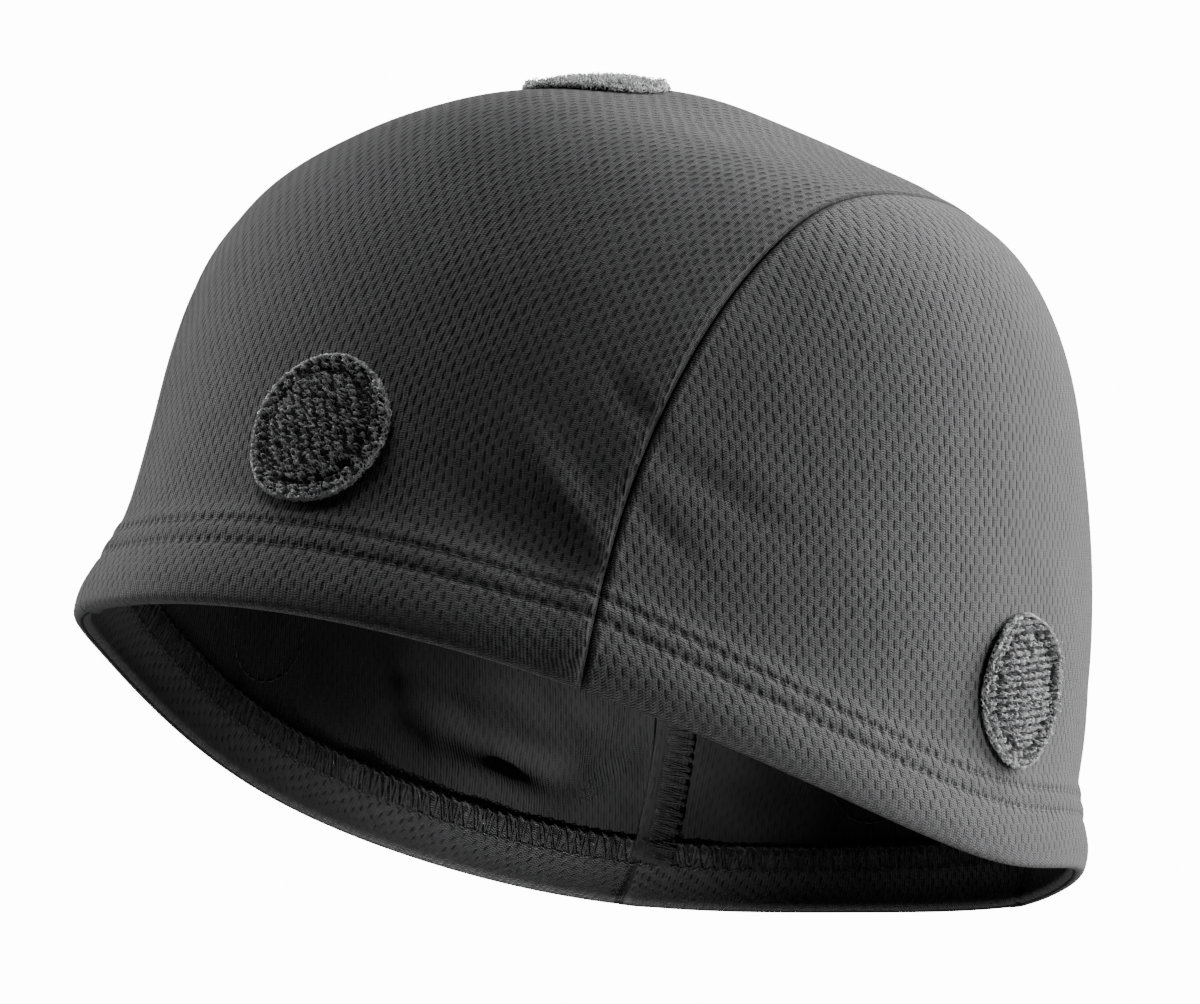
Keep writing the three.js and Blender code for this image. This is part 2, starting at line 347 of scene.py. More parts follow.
def ripple(points, size, shift):
    """Smooth noise from -1 to 1 at points."""
    flat = (points / size + shift).reshape(-1, 3)
    values = np.fromiter((noise.noise(Vector(point)) for point in flat), float, len(flat))
    return values.reshape(points.shape[:-1])


def ripples(points, name):
    return sum(row["height"] * ripple(points, row["size"], row["shift"]) for row in RIPPLES[name])


def fold_height(points):
    """Height of the soft folds and the slack of the cloth at points of the smooth cloth."""
    height = ripples(points, "slack")
    for fold in FOLDS:
        direction = towards(fold["heading"], fold["elevation"])
        middle, normal = skin_point(direction), skin_normal(direction)
        ways = turned_from(unit(np.cross([0, 0, 1], normal)), normal, fold["tilt"])
        along = (points - middle) @ ways[0] / fold["length"]
        aside = (points - middle) @ ways[1] / fold["width"]
        near = ((points - middle) @ normal > -fold["length"]).astype(float)
        height += near * fold["height"] * np.exp(-(along**2) - aside**2) * np.cos(1.5 * aside)
    return height


def seam_distance(direction, normal):
    """Distance along the cloth from the nearer seam, below 0 on the side panels."""
    turn = (np.degrees(np.arctan2(direction[..., 2], -direction[..., 1])) + 90) % 360 - 90
    offset = np.abs(direction[..., 0]) * skin_radius(direction)
    level = np.sqrt(1 - normal[..., 0] ** 2)
    return (PANEL_HALF_WIDTH * seam_share(turn) - offset) / np.maximum(level, 0.2)


def rolled(distance, radius):
    """How far an edge that is rounded over a radius lies under the face, at a distance in."""
    inset = np.clip(radius - distance, 0, radius)
    return radius - np.sqrt(radius**2 - inset**2)


top_direction = over_head(TOP_PATCH_ANGLE, 0.0)


def cloth(direction):
    """Outside and inside of the cloth, with folds, seams and hem, and what places it there."""
    point, normal = skin_point(direction), skin_normal(direction)
    climb = np.maximum(climb_of(direction), 0)
    from_seam = seam_distance(direction, normal)
    seam = np.abs(from_seam)
    low = 1 - smooth_step(climb, 35, 90)

    lift = fold_height(point) * smooth_step(climb, 0, 30)
    ridge = SEAM_RIDGE * np.where(direction[..., 0] > 0, 1, RIGHT_RIDGE_SHARE)
    ridge *= low * smooth_step(climb, -5, 12)
    lift += ridge * np.exp(-np.hypot(seam, 1.5) / SEAM_RIDGE_REACH)
    lift -= SEAM_DIP * (1 - low) * swell(seam, 0, SEAM_DIP_WIDTH)
    apart = norm(direction - top_direction, axis=-1) * CROWN_RISE
    lift += CROWN_PEAK * swell(apart, 0, CROWN_PEAK_REACH)
    outside = -rolled(seam, SEAM_ROLL * (0.3 + 0.7 * smooth_step(climb, 0, 5)))
    beside = swell(seam, SEAM_SWELL["inset"], SEAM_SWELL["width"])
    outside += np.where(from_seam > 0, SEAM_SWELL["height"], 0) * beside
    for row in HEM_SWELLS:
        outside += row["height"] * swell(climb, row["climb"], row["width"])
    outside -= HEM_STEP * smooth_step(climb, HEM_HEIGHT - 1, HEM_HEIGHT + 2.5)
    for row, depth in NEEDLE_ROWS.items():
        outside -= depth * swell(climb, row, NEEDLE_DENT)

    edge_lift = np.maximum(ripple(point, 7, 5.0), 0) * smooth_step(climb, 10.5, HEM_HEIGHT)
    fold = HEM_FOLD + HEM_EDGE_LIFT * edge_lift
    fold += (2 * RIM_ROLL - CLOTH - HEM_FOLD) * swell(climb, 0, 4)
    inside = CLOTH + np.where(climb <= HEM_HEIGHT, fold, 0)
    inside += ALLOWANCE_BULK["height"] * swell(seam, 0, ALLOWANCE_BULK["width"])
    limp = smooth_step(climb, HEM_HEIGHT, HEM_HEIGHT + 8) * smooth_step(point[..., 1], 0, 50)
    inside += limp * np.maximum(ripples(point, "crumple"), CRUMPLE_FLOOR)

    roll = rolled(climb, RIM_ROLL)
    at_rim = climb < 1e-6
    outside = np.where(at_rim, -RIM_ROLL, outside - roll)
    inside = np.where(at_rim, RIM_ROLL, inside - roll)
    return {
        "outside": point + normal * (lift + outside)[..., None],
        "inside": point + normal * (lift - inside)[..., None],
        "normal": normal,
        "climb": climb,
        "seam": seam,
        "run": rim_run(heading_of(direction)),
    }


# The worn form is moved so that the inside of the crown under the top patch is at the origin
CROWN_SEAT = skin_point(top_direction) - CLOTH * skin_normal(top_direction)
MILLIMETRE = 0.001


def to_frame(points):
    """Points of the worn form in the frame's metres."""
    return (points - CROWN_SEAT) * MILLIMETRE


# Camera, fitted to the outline, seams and patches in the photograph
CAMERA_AZIMUTH = 33.35
CAMERA_ELEVATION = -0.12
CAMERA_ROLL = 3.33
CAMERA_DISTANCE = 750.1
CAMERA_ASIDE = -3.7
CAMERA_ABOVE = -18.84
CAMERA_HEIGHT = 45.0
FOCAL_PIXELS = 4362.0
PHOTO_WIDTH = 1200


def put(name, data):
    """Object in the scene, with its data."""
    made = bpy.data.objects.new(name, data)
    bpy.context.collection.objects.link(made)
    return made


def make_camera():
    azimuth, elevation, roll = np.radians((CAMERA_AZIMUTH, CAMERA_ELEVATION, CAMERA_ROLL))
    turned = Matrix.Rotation(azimuth, 3, "Z") @ Matrix.Rotation(math.pi / 2 - elevation, 3, "X")
    turned = turned @ Matrix.Rotation(roll, 3, "Z")
    place = turned @ Vector((CAMERA_ASIDE, CAMERA_ABOVE, CAMERA_DISTANCE))
    place += Vector((0, 0, CAMERA_HEIGHT))
    data = bpy.data.cameras.new("camera")
    data.sensor_width = 36
    data.lens = data.sensor_width * FOCAL_PIXELS / PHOTO_WIDTH
    camera = put("camera", data)
    camera.matrix_world = Matrix.Translation(to_frame(np.array(place))) @ turned.to_4x4()
    bpy.context.scene.camera = camera


make_camera()


class Shader:
    """Procedural material, built node by node."""

    def __init__(self, name, roughness, sheen, specular=0.3):
        self.material = bpy.data.materials.new(name)
        self.material.use_nodes = True
        self.tree = self.material.node_tree
        self.inputs = self.tree.nodes["Principled BSDF"].inputs
        self.inputs["Roughness"].default_value = roughness
        self.inputs["Sheen Weight"].default_value = sheen
        self.inputs["Sheen Roughness"].default_value = 0.5
        self.inputs["Specular IOR Level"].default_value = specular

    def node(self, kind, **settings):
        made = self.tree.nodes.new("ShaderNode" + kind)
        for name, value in settings.items():
            setattr(made, name, value)
        return made

    def feed(self, socket, value):
        if isinstance(value, bpy.types.NodeSocket):
            self.tree.links.new(value, socket)
        else:
            socket.default_value = value

    def math(self, operation, *values):
        made = self.node("Math", operation=operation)
        for socket, value in zip(made.inputs, values):
            self.feed(socket, value)
        return made.outputs[0]

    def times(self, first, second):
        return self.math("MULTIPLY", first, second)

    def most(self, *values):
        """Largest of some values."""
        return reduce(lambda first, second: self.math("MAXIMUM", first, second), values)

    def in_cell(self, place):
        """Place in its whole cell, from -0.5 to 0.5."""
        return self.math("SUBTRACT", self.math("FRACT", place), 0.5)

    def weighted(self, base, *terms):
        """A base with values added to it, each times a factor."""
        for value, factor in terms:
            base = self.math("MULTIPLY_ADD", value, factor, base)
        return base

    def length(self, *sides):
        """Length of a slope with two level sides."""
        squares = [self.math("POWER", side, 2.0) for side in sides]
        return self.math("SQRT", self.math("ADD", *squares))

    def cell(self, *places):
        """Chance from 0 to 1 for each whole cell of two places."""
        made = self.node("TexWhiteNoise", noise_dimensions="2D")
        floors = [self.math("FLOOR", place) for place in places]
        self.feed(made.inputs["Vector"], self.vector(*floors, 0.0))
        return made.outputs["Value"]

    def parts(self, name):
        """The three numbers of a mesh attribute."""
        source = self.node("Attribute", attribute_name=name)
        made = self.node("SeparateXYZ")
        self.feed(made.inputs[0], source.outputs["Vector"])
        return made.outputs

    def vector(self, *values):
        made = self.node("CombineXYZ")
        for socket, value in zip(made.inputs, values):
            self.feed(socket, value)
        return made.outputs[0]

    def noise(self, place, scale, detail=2.0):
        made = self.node("TexNoise")
        self.feed(made.inputs["Vector"], place)
        made.inputs["Scale"].default_value = scale
        made.inputs["Detail"].default_value = detail
        return made.outputs["Fac"]

    def ramp(self, value, low, high, first=0.0, last=1.0):
        made = self.node("MapRange", interpolation_type="SMOOTHSTEP")
        for socket, number in zip(made.inputs, (value, low, high, first, last)):
            self.feed(socket, number)
        return made.outputs[0]

    def stripes(self, value, pitch):
        """Waves from 0 to 1 along a length."""
        wave = self.math("COSINE", self.times(value, 2 * math.pi / pitch))
        return self.weighted(0.5, (wave, 0.5))

    def mix(self, share, first, second):
        made = self.node("Mix", data_type="RGBA")
        self.feed(made.inputs[0], share)
        for socket, colour in zip(made.inputs[6:8], (first, second)):
            self.feed(socket, (*colour, 1.0) if isinstance(colour, tuple) else colour)
        return made.outputs[2]

    def finish(self, colour, height, depth):
        """Sets the colour, and a relief from a height of 0 to 1 times a depth in millimetres."""
        bump = self.node("Bump")
        bump.inputs["Distance"].default_value = depth * MILLIMETRE
        self.feed(bump.inputs["Height"], height)
        self.feed(self.inputs["Base Color"], colour)
        self.feed(self.inputs["Normal"], bump.outputs[0])
        return self.material


# Mesh knit: long slits in staggered rows, with fine strands between them. Each kind of panel has
# its own slits, share of lengthwise lines and reach of the seam's shadow.
SLIT_PITCH = 2.4
SLIT_ROW = 1.55
KNIT = {
    "centre": {"length": 1.95, "width": 0.54, "lengthwise": 0.55, "shadow": 0.85},
    "side": {"length": 1.6, "width": 0.44, "lengthwise": 0.2, "shadow": 1.4},
    "back": {"length": 1.95, "width": 0.54, "lengthwise": 0.5},
}
STRAND_PITCH = 0.4
WALE_PITCH = 0.6
RIB_PITCH = 0.62
PICK_PITCH = 0.45
PILE_ROW = 1.9
RELIEF = {"face": 0.48, "back": 0.22, "thread": 0.06, "tape": 0.3}
SHADE = {
    # Near black of the slits, needle holes and seam crease: painted shade in these hollows. It is
    # also the dark end of the tape backing's tone.
    "slit": (0.004, 0.004, 0.0042),
    "yarn": (0.032, 0.032, 0.0335),
    # Light end of the face's tone: worn yarn, and the painted highlights of its strands, puffs,
    # cells and seam edge
    "lit_and_worn_yarn": (0.096, 0.096, 0.099),
    "inside": (0.03, 0.03, 0.031),
    "thread": (0.06, 0.06, 0.062),
    "looper": (0.028, 0.028, 0.029),
    "backing": (0.05, 0.05, 0.052),
    "pile": (0.66, 0.66, 0.67),
}


def slits(shader, across_cloth, along_cloth, kind, tight, stagger):
    """One of the two sets of slits: how much of a slit there is, and the place in its cell."""
    columns = shader.weighted(stagger, (across_cloth, 1 / SLIT_PITCH))
    rows = shader.weighted(stagger, (along_cloth, 0.5 / SLIT_ROW))
    aside, along = shader.in_cell(columns), shader.in_cell(rows)
    wide = shader.times(aside, 2 * SLIT_PITCH / KNIT[kind]["width"])
    long = shader.times(along, 4 * SLIT_ROW / KNIT[kind]["length"])
    reach = shader.length(wide, shader.times(long, tight))
    size = shader.weighted(0.8, (shader.cell(columns, rows), 0.45))
    return shader.ramp(shader.math("DIVIDE", reach, size), 1.2, 0.7), aside, along


def knit_pattern(shader, kind):
    """Slits, strands and height of the mesh knit of a kind."""
    across_cloth, along_cloth, seam = shader.parts("weave")
    place = shader.vector(across_cloth, along_cloth, 0.0)
    sway, wander = (
        shader.math("SUBTRACT", shader.noise(place, scale), 0.5) for scale in (0.16, 0.11)
    )
    across_cloth = shader.weighted(across_cloth, (sway, 1.1))
    along_cloth = shader.weighted(along_cloth, (wander, 1.4))
    tight = shader.ramp(shader.parts("hem")[1], HEM_HEIGHT - 5, HEM_HEIGHT + 3, 1.3, 1.0)
    (first, first_aside, first_along), (second, second_aside, _) = (
        slits(shader, across_cloth, along_cloth, kind, tight, stagger) for stagger in (0.0, 0.5)
    )
    in_first = shader.ramp(shader.math("ABSOLUTE", first_along), 0.28, 0.22)
    puffs = [
        shader.ramp(shader.math("ABSOLUTE", aside), 0.02, 0.34)
        for aside in (first_aside, second_aside)
    ]
    in_second = shader.math("SUBTRACT", 1.0, in_first)
    puff = shader.weighted(0.0, (puffs[0], in_first), (puffs[1], in_second))
    lengthwise = KNIT[kind]["lengthwise"]
    wale = shader.stripes(shader.math("ADD", across_cloth, WALE_PITCH / 2), WALE_PITCH)
    bow = shader.stripes(across_cloth, SLIT_PITCH / 2)
    strand = shader.stripes(shader.weighted(along_cloth, (bow, 0.18)), STRAND_PITCH)
    strand = shader.weighted(0.0, (wale, lengthwise), (strand, 1 - lengthwise))
    # Random tone per cell, which the face paints lighter as painted sparkle
    shade = shader.cell(
        shader.math("DIVIDE", across_cloth, WALE_PITCH),
        shader.math("DIVIDE", along_cloth, STRAND_PITCH),
    )
    fibre = shader.noise(place, 5.0, 3.0)
    height = shader.weighted(0.3, (puff, 0.25), (strand, 0.42), (shade, 0.24), (fibre, 0.3))
    return {
        "place": place, "slit": shader.most(first, second), "puff": puff, "strand": strand,
        "shade": shade, "fibre": fibre, "height": height, "seam": seam,
    }


def face_material(kind):
    """Outer face of a panel's mesh knit, with the needle holes of the hem. Painted shade darkens
    its slits, needle holes, seam crease and hem band; painted highlights lighten its yarn and
    seam edge.
    """
    shader = Shader(f"mesh_knit_{kind}_face", roughness=0.8, sheen=0.28)
    knit = knit_pattern(shader, kind)
    run, climb, _ = shader.parts("hem")
    middle = shader.math("ABSOLUTE", shader.in_cell(shader.math("DIVIDE", run, stitch_length)))
    past = shader.times(shader.math("SUBTRACT", 0.5, middle), stitch_length)
    # Needle holes, painted dark: painted shade where the thread draws the cloth in
    holes = []
    for row in NEEDLE_ROWS:
        apart = shader.length(past, shader.math("SUBTRACT", climb, row))
        holes.append(shader.ramp(apart, 0.95, 0.35, 0.0, 0.95))
    # Slits, painted dark: painted shade in the holes of the knit, except on the rolled rim
    open_slit = shader.times(knit["slit"], shader.ramp(climb, 2.0, 4.4))
    # Painted shadow along the seam's crease
    shadow = shader.ramp(knit["seam"], KNIT[kind]["shadow"], 0.3)
    shaded_hollows = shader.most(open_slit, *holes, shadow)
    worn = shader.noise(knit["place"], 0.09, 4.0)
    # Yarn along the seam's edge, painted lighter and raised in relief: painted highlight on the
    # edge's fuzz
    seam_fuzz_and_highlight = shader.times(shader.ramp(knit["seam"], 2.0, 1.0), knit["shade"])
    # Hem band painted darker: painted shade on the flare, which catches the light from above
    painted_hem_shade = shader.ramp(climb, HEM_HEIGHT + 1, HEM_HEIGHT - 1)
    # Tone: worn patches and fibres vary at random; strands and puffs are painted lighter as
    # painted highlights, and cells as painted sparkle
    tone = shader.weighted(
        -0.5, (knit["strand"], 0.5), (knit["shade"], 0.5), (knit["puff"], 0.2), (worn, 0.5),
        (knit["fibre"], 0.65), (seam_fuzz_and_highlight, 0.7), (painted_hem_shade, -0.15),
    )
    colour = shader.mix(tone, SHADE["yarn"], SHADE["lit_and_worn_yarn"])
    # Slits, needle holes and seam crease take the near black: painted shade
    colour = shader.mix(shader.times(shaded_hollows, 0.97), colour, SHADE["slit"])
    height = shader.weighted(knit["height"], (shaded_hollows, -0.8), (seam_fuzz_and_highlight, 0.6))
    return shader.finish(colour, height, RELIEF["face"])


def back_material():
    """Inner face of the knit: fine ribs, and faint dimples where it has slits, painted darker as
    painted shade.
    """
    shader = Shader("mesh_knit_back", roughness=0.9, sheen=0.15)
    knit = knit_pattern(shader, "back")
    rib = shader.stripes(shader.parts("weave")[0], RIB_PITCH)
    tone = shader.weighted(0.0, (rib, 0.25), (knit["fibre"], 0.8))
    colour = shader.mix(tone, SHADE["inside"], SHADE["yarn"])
    # Dimples of the slits, painted darker: painted shade
    colour = shader.mix(shader.times(knit["slit"], 0.35), colour, SHADE["slit"])
    height = shader.weighted(
        0.0, (knit["strand"], 0.3), (rib, 0.3), (knit["fibre"], 0.4), (knit["slit"], -0.3)
    )
    return shader.finish(colour, height, RELIEF["back"])


def thread_material(name, colour, sheen, roughness, specular):
    """Spun thread or filament, with its twist and a change of shade."""
    shader = Shader(name, roughness=roughness, sheen=sheen, specular=specular)
    place = shader.node("TexCoord").outputs["Object"]
    twist = shader.noise(place, 9000.0, 1.0)
    shade = shader.noise(place, 900.0)
    light = tuple(min(1.0, value * 1.5) for value in colour)
    dim = tuple(value * 0.6 for value in colour)
    colour = shader.mix(shader.ramp(shade, 0.3, 0.7), dim, light)
    return shader.finish(colour, twist, RELIEF["thread"])


def tape_material():
    """Backing of the loop tape: a dense weave with the pile's rows, fused along its cut edge."""
    shader = Shader("loop_tape_backing", roughness=0.85, sheen=0.1)
    aside, along, reach = shader.parts("tape")
    place = shader.vector(aside, along, 0.0)
    rows = shader.stripes(aside, PILE_ROW)
    picks = shader.stripes(along, PICK_PITCH)
    fibre = shader.noise(place, 3.0, 3.0)
    tone = shader.weighted(0.0, (fibre, 0.6), (rows, 0.4))
    colour = shader.mix(tone, SHADE["slit"], SHADE["backing"])
    edge = shader.ramp(reach, PATCH_RADIUS - 0.7, PATCH_RADIUS - 0.1)
    height = shader.weighted(0.0, (rows, 0.5), (picks, 0.3), (fibre, 0.3), (edge, -0.2))
    return shader.finish(colour, height, RELIEF["tape"])


knit_faces = {kind: face_material(kind) for kind in ("centre", "side")}
knit_back = back_material()
sewing_thread = thread_material("sewing_thread", SHADE["thread"], 0.3, 0.6, 0.4)
looper_thread = thread_material("looper_thread", SHADE["looper"], 0.5, 0.8, 0.25)
pile_yarn = thread_material("loop_pile_filament", SHADE["pile"], 0.1, 0.28, 1.0)
tape_backing = tape_material()


def make_piece(name, points, faces, materials, nodes, slots=None, attributes=None):
    """Piece of the cap from points of the worn form, which stands for CAD nodes."""
    mesh = bpy.data.meshes.new(name)
    mesh.from_pydata(to_frame(points).tolist(), [], faces)
    for material in materials:
        mesh.materials.append(material)
    if slots is not None:
        mesh.polygons.foreach_set("material_index", np.array(slots, np.int32))
    for label, values in (attributes or {}).items():
        made = mesh.attributes.new(label, "FLOAT_VECTOR", "POINT")
        made.data.foreach_set("vector", np.ascontiguousarray(values, np.float32).ravel())
    mesh.polygons.foreach_set("use_smooth", np.ones(len(mesh.polygons), bool))
    mesh.update()
    piece = put(name, mesh)
    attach(piece, "root")
    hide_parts(*nodes)
    return piece


def tube_faces(points, inward=False):
    """Faces of closed tubes, from their points by ring and place in it."""
    number = np.arange(points.size // 3).reshape(points.shape[:-1])
    ahead = np.roll(number, -1, axis=-1)
    corners = [number[..., :-1, :], ahead[..., :-1, :], ahead[..., 1:, :], number[..., 1:, :]]
    if inward:
        corners[1:] = corners[:0:-1]
    step = 1 if inward else -1
    faces = join(*corners).reshape(-1, 4).tolist()
    for end in (number[..., 0, ::step], number[..., -1, ::-step]):
        faces += end.reshape(-1, number.shape[-1]).tolist()
    return faces


def weave_inside(weave, rim, climb):
    """Cloth coordinates on the inside: the turned-up hem runs on from those at the rim."""
    return np.where((climb <= HEM_HEIGHT)[..., None], 2 * rim - weave, weave)


def make_panel(name, kind, direction, weave, weave_in):
    """Closed body of a panel from a grid of directions, whose lines start at the rim."""
    line, row = (size // 2 for size in direction.shape[:2])
    middle = direction[line, row]
    aside, along = direction[line + 1, row] - middle, direction[line, row + 1] - middle
    if np.dot(np.cross(aside, along), middle) < 0:
        direction, weave, weave_in = direction[::-1], weave[::-1], weave_in[::-1]
    skin = cloth(direction)
    lines, rows = direction.shape[:2]
    flat = skin["outside"].reshape(-1, 3)
    _, first, welded = np.unique(
        np.round(flat, 3), axis=0, return_index=True, return_inverse=True
    )
    welded = welded.reshape(lines, rows)
    count = len(first)

    quads = join(welded[:-1, :-1], welded[1:, :-1], welded[1:, 1:], welded[:-1, 1:])
    climb = skin["climb"]
    quad_climb = np.maximum(climb[:-1, :-1], climb[:-1, 1:]).ravel()
    faces, slots = [], []
    for quad, height in zip(quads.reshape(-1, 4).tolist(), quad_climb):
        corners = [c for k, c in enumerate(quad) if c != quad[k - 1]]
        if len(set(corners)) == len(corners) >= 3:
            faces += [corners, [count + c for c in reversed(corners)]]
            slots += [0, 0 if height <= HEM_HEIGHT + 0.01 else 1]
    ring = np.concatenate(
        (welded[:, 0], welded[-1, 1:], welded[-2::-1, -1], welded[0, -2:0:-1])
    ).tolist()
    for near, far in zip(ring, ring[1:] + ring[:1]):
        if near != far:
            faces.append([far, near, count + near, count + far])
            slots.append(0)

    seam = skin["seam"][..., None]
    hem, outer, inner = (
        np.concatenate((numbers, seam), axis=-1).reshape(-1, 3)[first]
        for numbers in (join(skin["run"], climb), weave, weave_in)
    )
    piece = make_piece(
        name,
        np.concatenate((flat[first], skin["inside"].reshape(-1, 3)[first])),
        faces,
        [knit_faces[kind], knit_back],
        [name.replace("_cloth", "")],
        slots,
        {"weave": np.concatenate((outer, inner)), "hem": np.concatenate((hem, hem))},
    )


# Climbs of the rows in the hem: the rolled rim, the needle rows, and the raw edge inside
HEM_CLIMBS = np.concatenate(
    (
        RIM_ROLL * (1 - np.cos(np.radians((0, 15, 30, 45, 60, 75, 90)))),
        (2.3, 3.3, 4.4, 5.5, 6.6, 7.6, 8.4, 9.0, 9.4, 9.7, 10.0, 10.3, 10.7, 11.2, 11.8, 12.3),
        (12.8, 13.2, 13.5, 13.8, 14.15, HEM_HEIGHT, HEM_HEIGHT + 0.15, 15.2, 16.0, 17.0),
    )
)
SEAM_INSETS = np.array((0, 0.12, 0.35, 0.7, 1.2, 1.9, 2.8, 3.9))

# Size of the mesh's cells away from the edges, and the lengths above the hems that they divide
CELL = 1.35
CROWN_LENGTH = 300
SIDE_LENGTH = 82


# Sideways bend of the knit's columns on the centre panel, by the turn over the head, and where
# they lie on a side panel at lengths from its middle
BEND = spline((-30, 5, 26, 48, 60, 90, 225), (-7, -3.6, 0, -3.9, -7, -10, -10))
STRETCH = {"length": (0, 15, 38, 54, 66, 78, 110), "column": (0, 5.9, 14.7, 21.3, 26.5, 32, 46.5)}


def centre_weave(direction, turns):
    """Cloth coordinates on the centre panel: across from its middle line, and along that line."""
    steps = np.linspace(0, 1, 13)[:, None, None]
    lean = np.arcsin(direction[..., 0])
    path = skin_point(over_head(turns + 0 * steps, lean * steps))
    aside = np.sum(norm(np.diff(path, axis=0), axis=-1), axis=0) * np.sign(lean)
    levels = np.linspace(-40, 235, 1101)
    line = run_along(skin_point(over_head(levels, 0 * levels)))
    along = np.interp(turns, levels, line) - np.interp(90, levels, line)
    return join(aside + BEND(turns), along)


def make_centre_panel():
    flat = PANEL_HALF_WIDTH - SEAM_INSETS[-1]
    middle = np.linspace(-flat, flat, round(2 * flat / CELL))[1:-1]
    near = PANEL_HALF_WIDTH - SEAM_INSETS
    shares = np.concatenate((-near, middle, near[::-1])) / PANEL_HALF_WIDTH
    crown_rows = round(CROWN_LENGTH / CELL)
    turns = []
    for share in shares:
        front, back = (turns_at(HEM_CLIMBS, share, end) for end in ("front", "back"))
        crown = np.linspace(front[-1], back[-1], crown_rows)[1:-1]
        turns.append(np.concatenate((front, crown, back[::-1])))
    turns = np.array(turns)
    direction = across(turns, shares[:, None])
    weave = centre_weave(direction, turns)
    in_front = np.arange(turns.shape[1]) < turns.shape[1] // 2
    rim = np.where(in_front[:, None], weave[:, :1], weave[:, -1:])
    weave_in = weave_inside(weave, rim, climb_of(direction))
    make_panel("centre_panel_cloth", "centre", direction, weave, weave_in)


def side_weave(direction, side):
    """Cloth coordinates on a side panel: along the level from its middle, and up."""
    heading, elevation = from_face(heading_of(direction)), elevation_of(direction)
    steps = np.linspace(0, 1, 17).reshape(-1, *([1] * heading.ndim))
    middle = side * 90.0
    path = skin_point(towards(middle + (heading - middle) * steps, elevation + 0 * steps))
    length = np.sum(norm(np.diff(path, axis=0), axis=-1), axis=0)
    aside = np.interp(length, STRETCH["length"], STRETCH["column"]) * SLIT_PITCH
    return join(aside * np.sign(heading - middle), path[-1, ..., 2])


def make_side_panel(name, side):
    ends = [turns_at(HEM_CLIMBS, side, end) for end in ("front", "back")]
    front, back = (from_face(heading_of(across(turns, side))) for turns in ends)
    width = math.radians(abs(back[0] - front[0])) * BACK_REACH
    near = SEAM_INSETS / width
    middle = np.linspace(near[-1], 1 - near[-1], round(width / CELL))[1:-1]
    share = np.concatenate((near, middle, 1 - near[::-1]))[:, None]
    heading = front + share * (back - front)
    hem = above_rim(heading, np.broadcast_to(HEM_CLIMBS, heading.shape))

    start = hem[:, -1]
    first, last = (turns[-1] for turns in ends)
    arch = across(first + share[:, 0] * (last - first), side)
    length = np.arccos(np.clip(np.sum(start * arch, axis=-1), -1, 1)) * skin_radius(start)
    insets = SEAM_INSETS[None] * np.minimum(1, 0.5 * length / SEAM_INSETS[-1])[:, None]
    rows = np.linspace(0, 1, round(SIDE_LENGTH / CELL))[1:-1]
    reach = rows * (length - insets[:, -1])[:, None]
    reach = np.concatenate((reach, length[:, None] - insets[:, ::-1]), axis=1)
    part = (reach / np.maximum(length, 1e-6)[:, None])[..., None]
    fan = unit(start[:, None] * (1 - part) + arch[:, None] * part)
    direction = np.concatenate((hem, fan), axis=1)
    direction[[0, -1], len(HEM_CLIMBS) :] = direction[[0, -1], len(HEM_CLIMBS) - 1][:, None]
    weave = side_weave(direction, side)
    weave_in = weave_inside(weave, weave[:, :1], climb_of(direction))
    make_panel(name, "side", direction, weave, weave_in)


make_centre_panel()
make_side_panel("side_panel_left_cloth", 1)
make_side_panel("side_panel_right_cloth", -1)


def make_threads(name, paths, radius, sides, material, nodes):
    """Round threads as one piece, along paths in arrays of paths by points by place."""
    paths = np.concatenate(paths)
    along = unit(np.gradient(paths, axis=1))
    first = unit(np.cross(along, [0.36, 0.48, 0.8]))
    second = np.cross(along, first)
    turn = 2 * np.pi * np.arange(sides) / sides
    cosine, sine = np.cos(turn)[:, None], np.sin(turn)[:, None]
    spokes = cosine * first[:, :, None] + sine * second[:, :, None]
    points = paths[:, :, None] + radius * spokes
    make_piece(name, points.reshape(-1, 3), tube_faces(points), [material], nodes)


PANELS = ["centre_panel", "side_panel_left", "side_panel_right"]
NEEDLE_THREAD = 0.13
LOOPER_THREAD = 0.11
ALLOWANCE_START = 10.0
ALLOWANCE_STEP = 1.3


def on_hem(run, climb, face, height):
    """Points at lengths round the rim and climbs above it, standing off a face of the cloth."""
    run, climb = np.broadcast_arrays(run, climb)
    skin = cloth(above_rim(rim_heading(run), climb))
    away = 1 if face == "outside" else -1
    return skin[face] + away * np.asarray(height)[..., None] * skin["normal"]


def make_hem_stitches():
    """Two rows of needle thread outside, and the looper threads over the raw edge inside."""
    starts = np.arange(stitch_count)[:, None] * stitch_length
    share = np.array((0.06, 0.14, 0.3, 0.5, 0.7, 0.86, 0.94))
    height = np.array((-0.45, -0.14, -0.02, 0.02, -0.02, -0.14, -0.45))
    rows = [on_hem(starts + share * stitch_length, row, "outside", height) for row in NEEDLE_ROWS]
    make_threads("hem_needle_rows", rows, NEEDLE_THREAD, 6, sewing_thread, PANELS)

    climbs = np.array((9.8, 10.6, 11.8, 13.0, 14.0, 14.7, 15.2))
    height = np.array((0.1, 0.3, 0.34, 0.34, 0.3, 0.5, 0.1))
    lean = np.linspace(0, 1, len(climbs))
    loops = []
    for shift, way in ((0.0, 0.55), (0.22, 0.55), (1.0, -0.5), (0.8, -0.5)):
        wander = 0.18 * np.sin(starts * 1.7 + 5 * shift)
        run = starts + (shift + way * lean + wander) * stitch_length
        loops.append(on_hem(run, climbs, "inside", height + 0.1 * np.sin(starts * 2.9)))
    share = np.array((0.0, 0.2, 0.4, 0.6, 0.8, 1.0, 1.15))
    for climb, swing in ((9.7, 0.25), (14.5, 0.5)):
        run = starts + share * stitch_length
        height = 0.35 + 0.2 * np.sin(np.pi * share)
        loops.append(on_hem(run, climb + swing * np.sin(2 * np.pi * share), "inside", height))
    make_threads("hem_looper_threads", loops, LOOPER_THREAD, 5, looper_thread, PANELS)


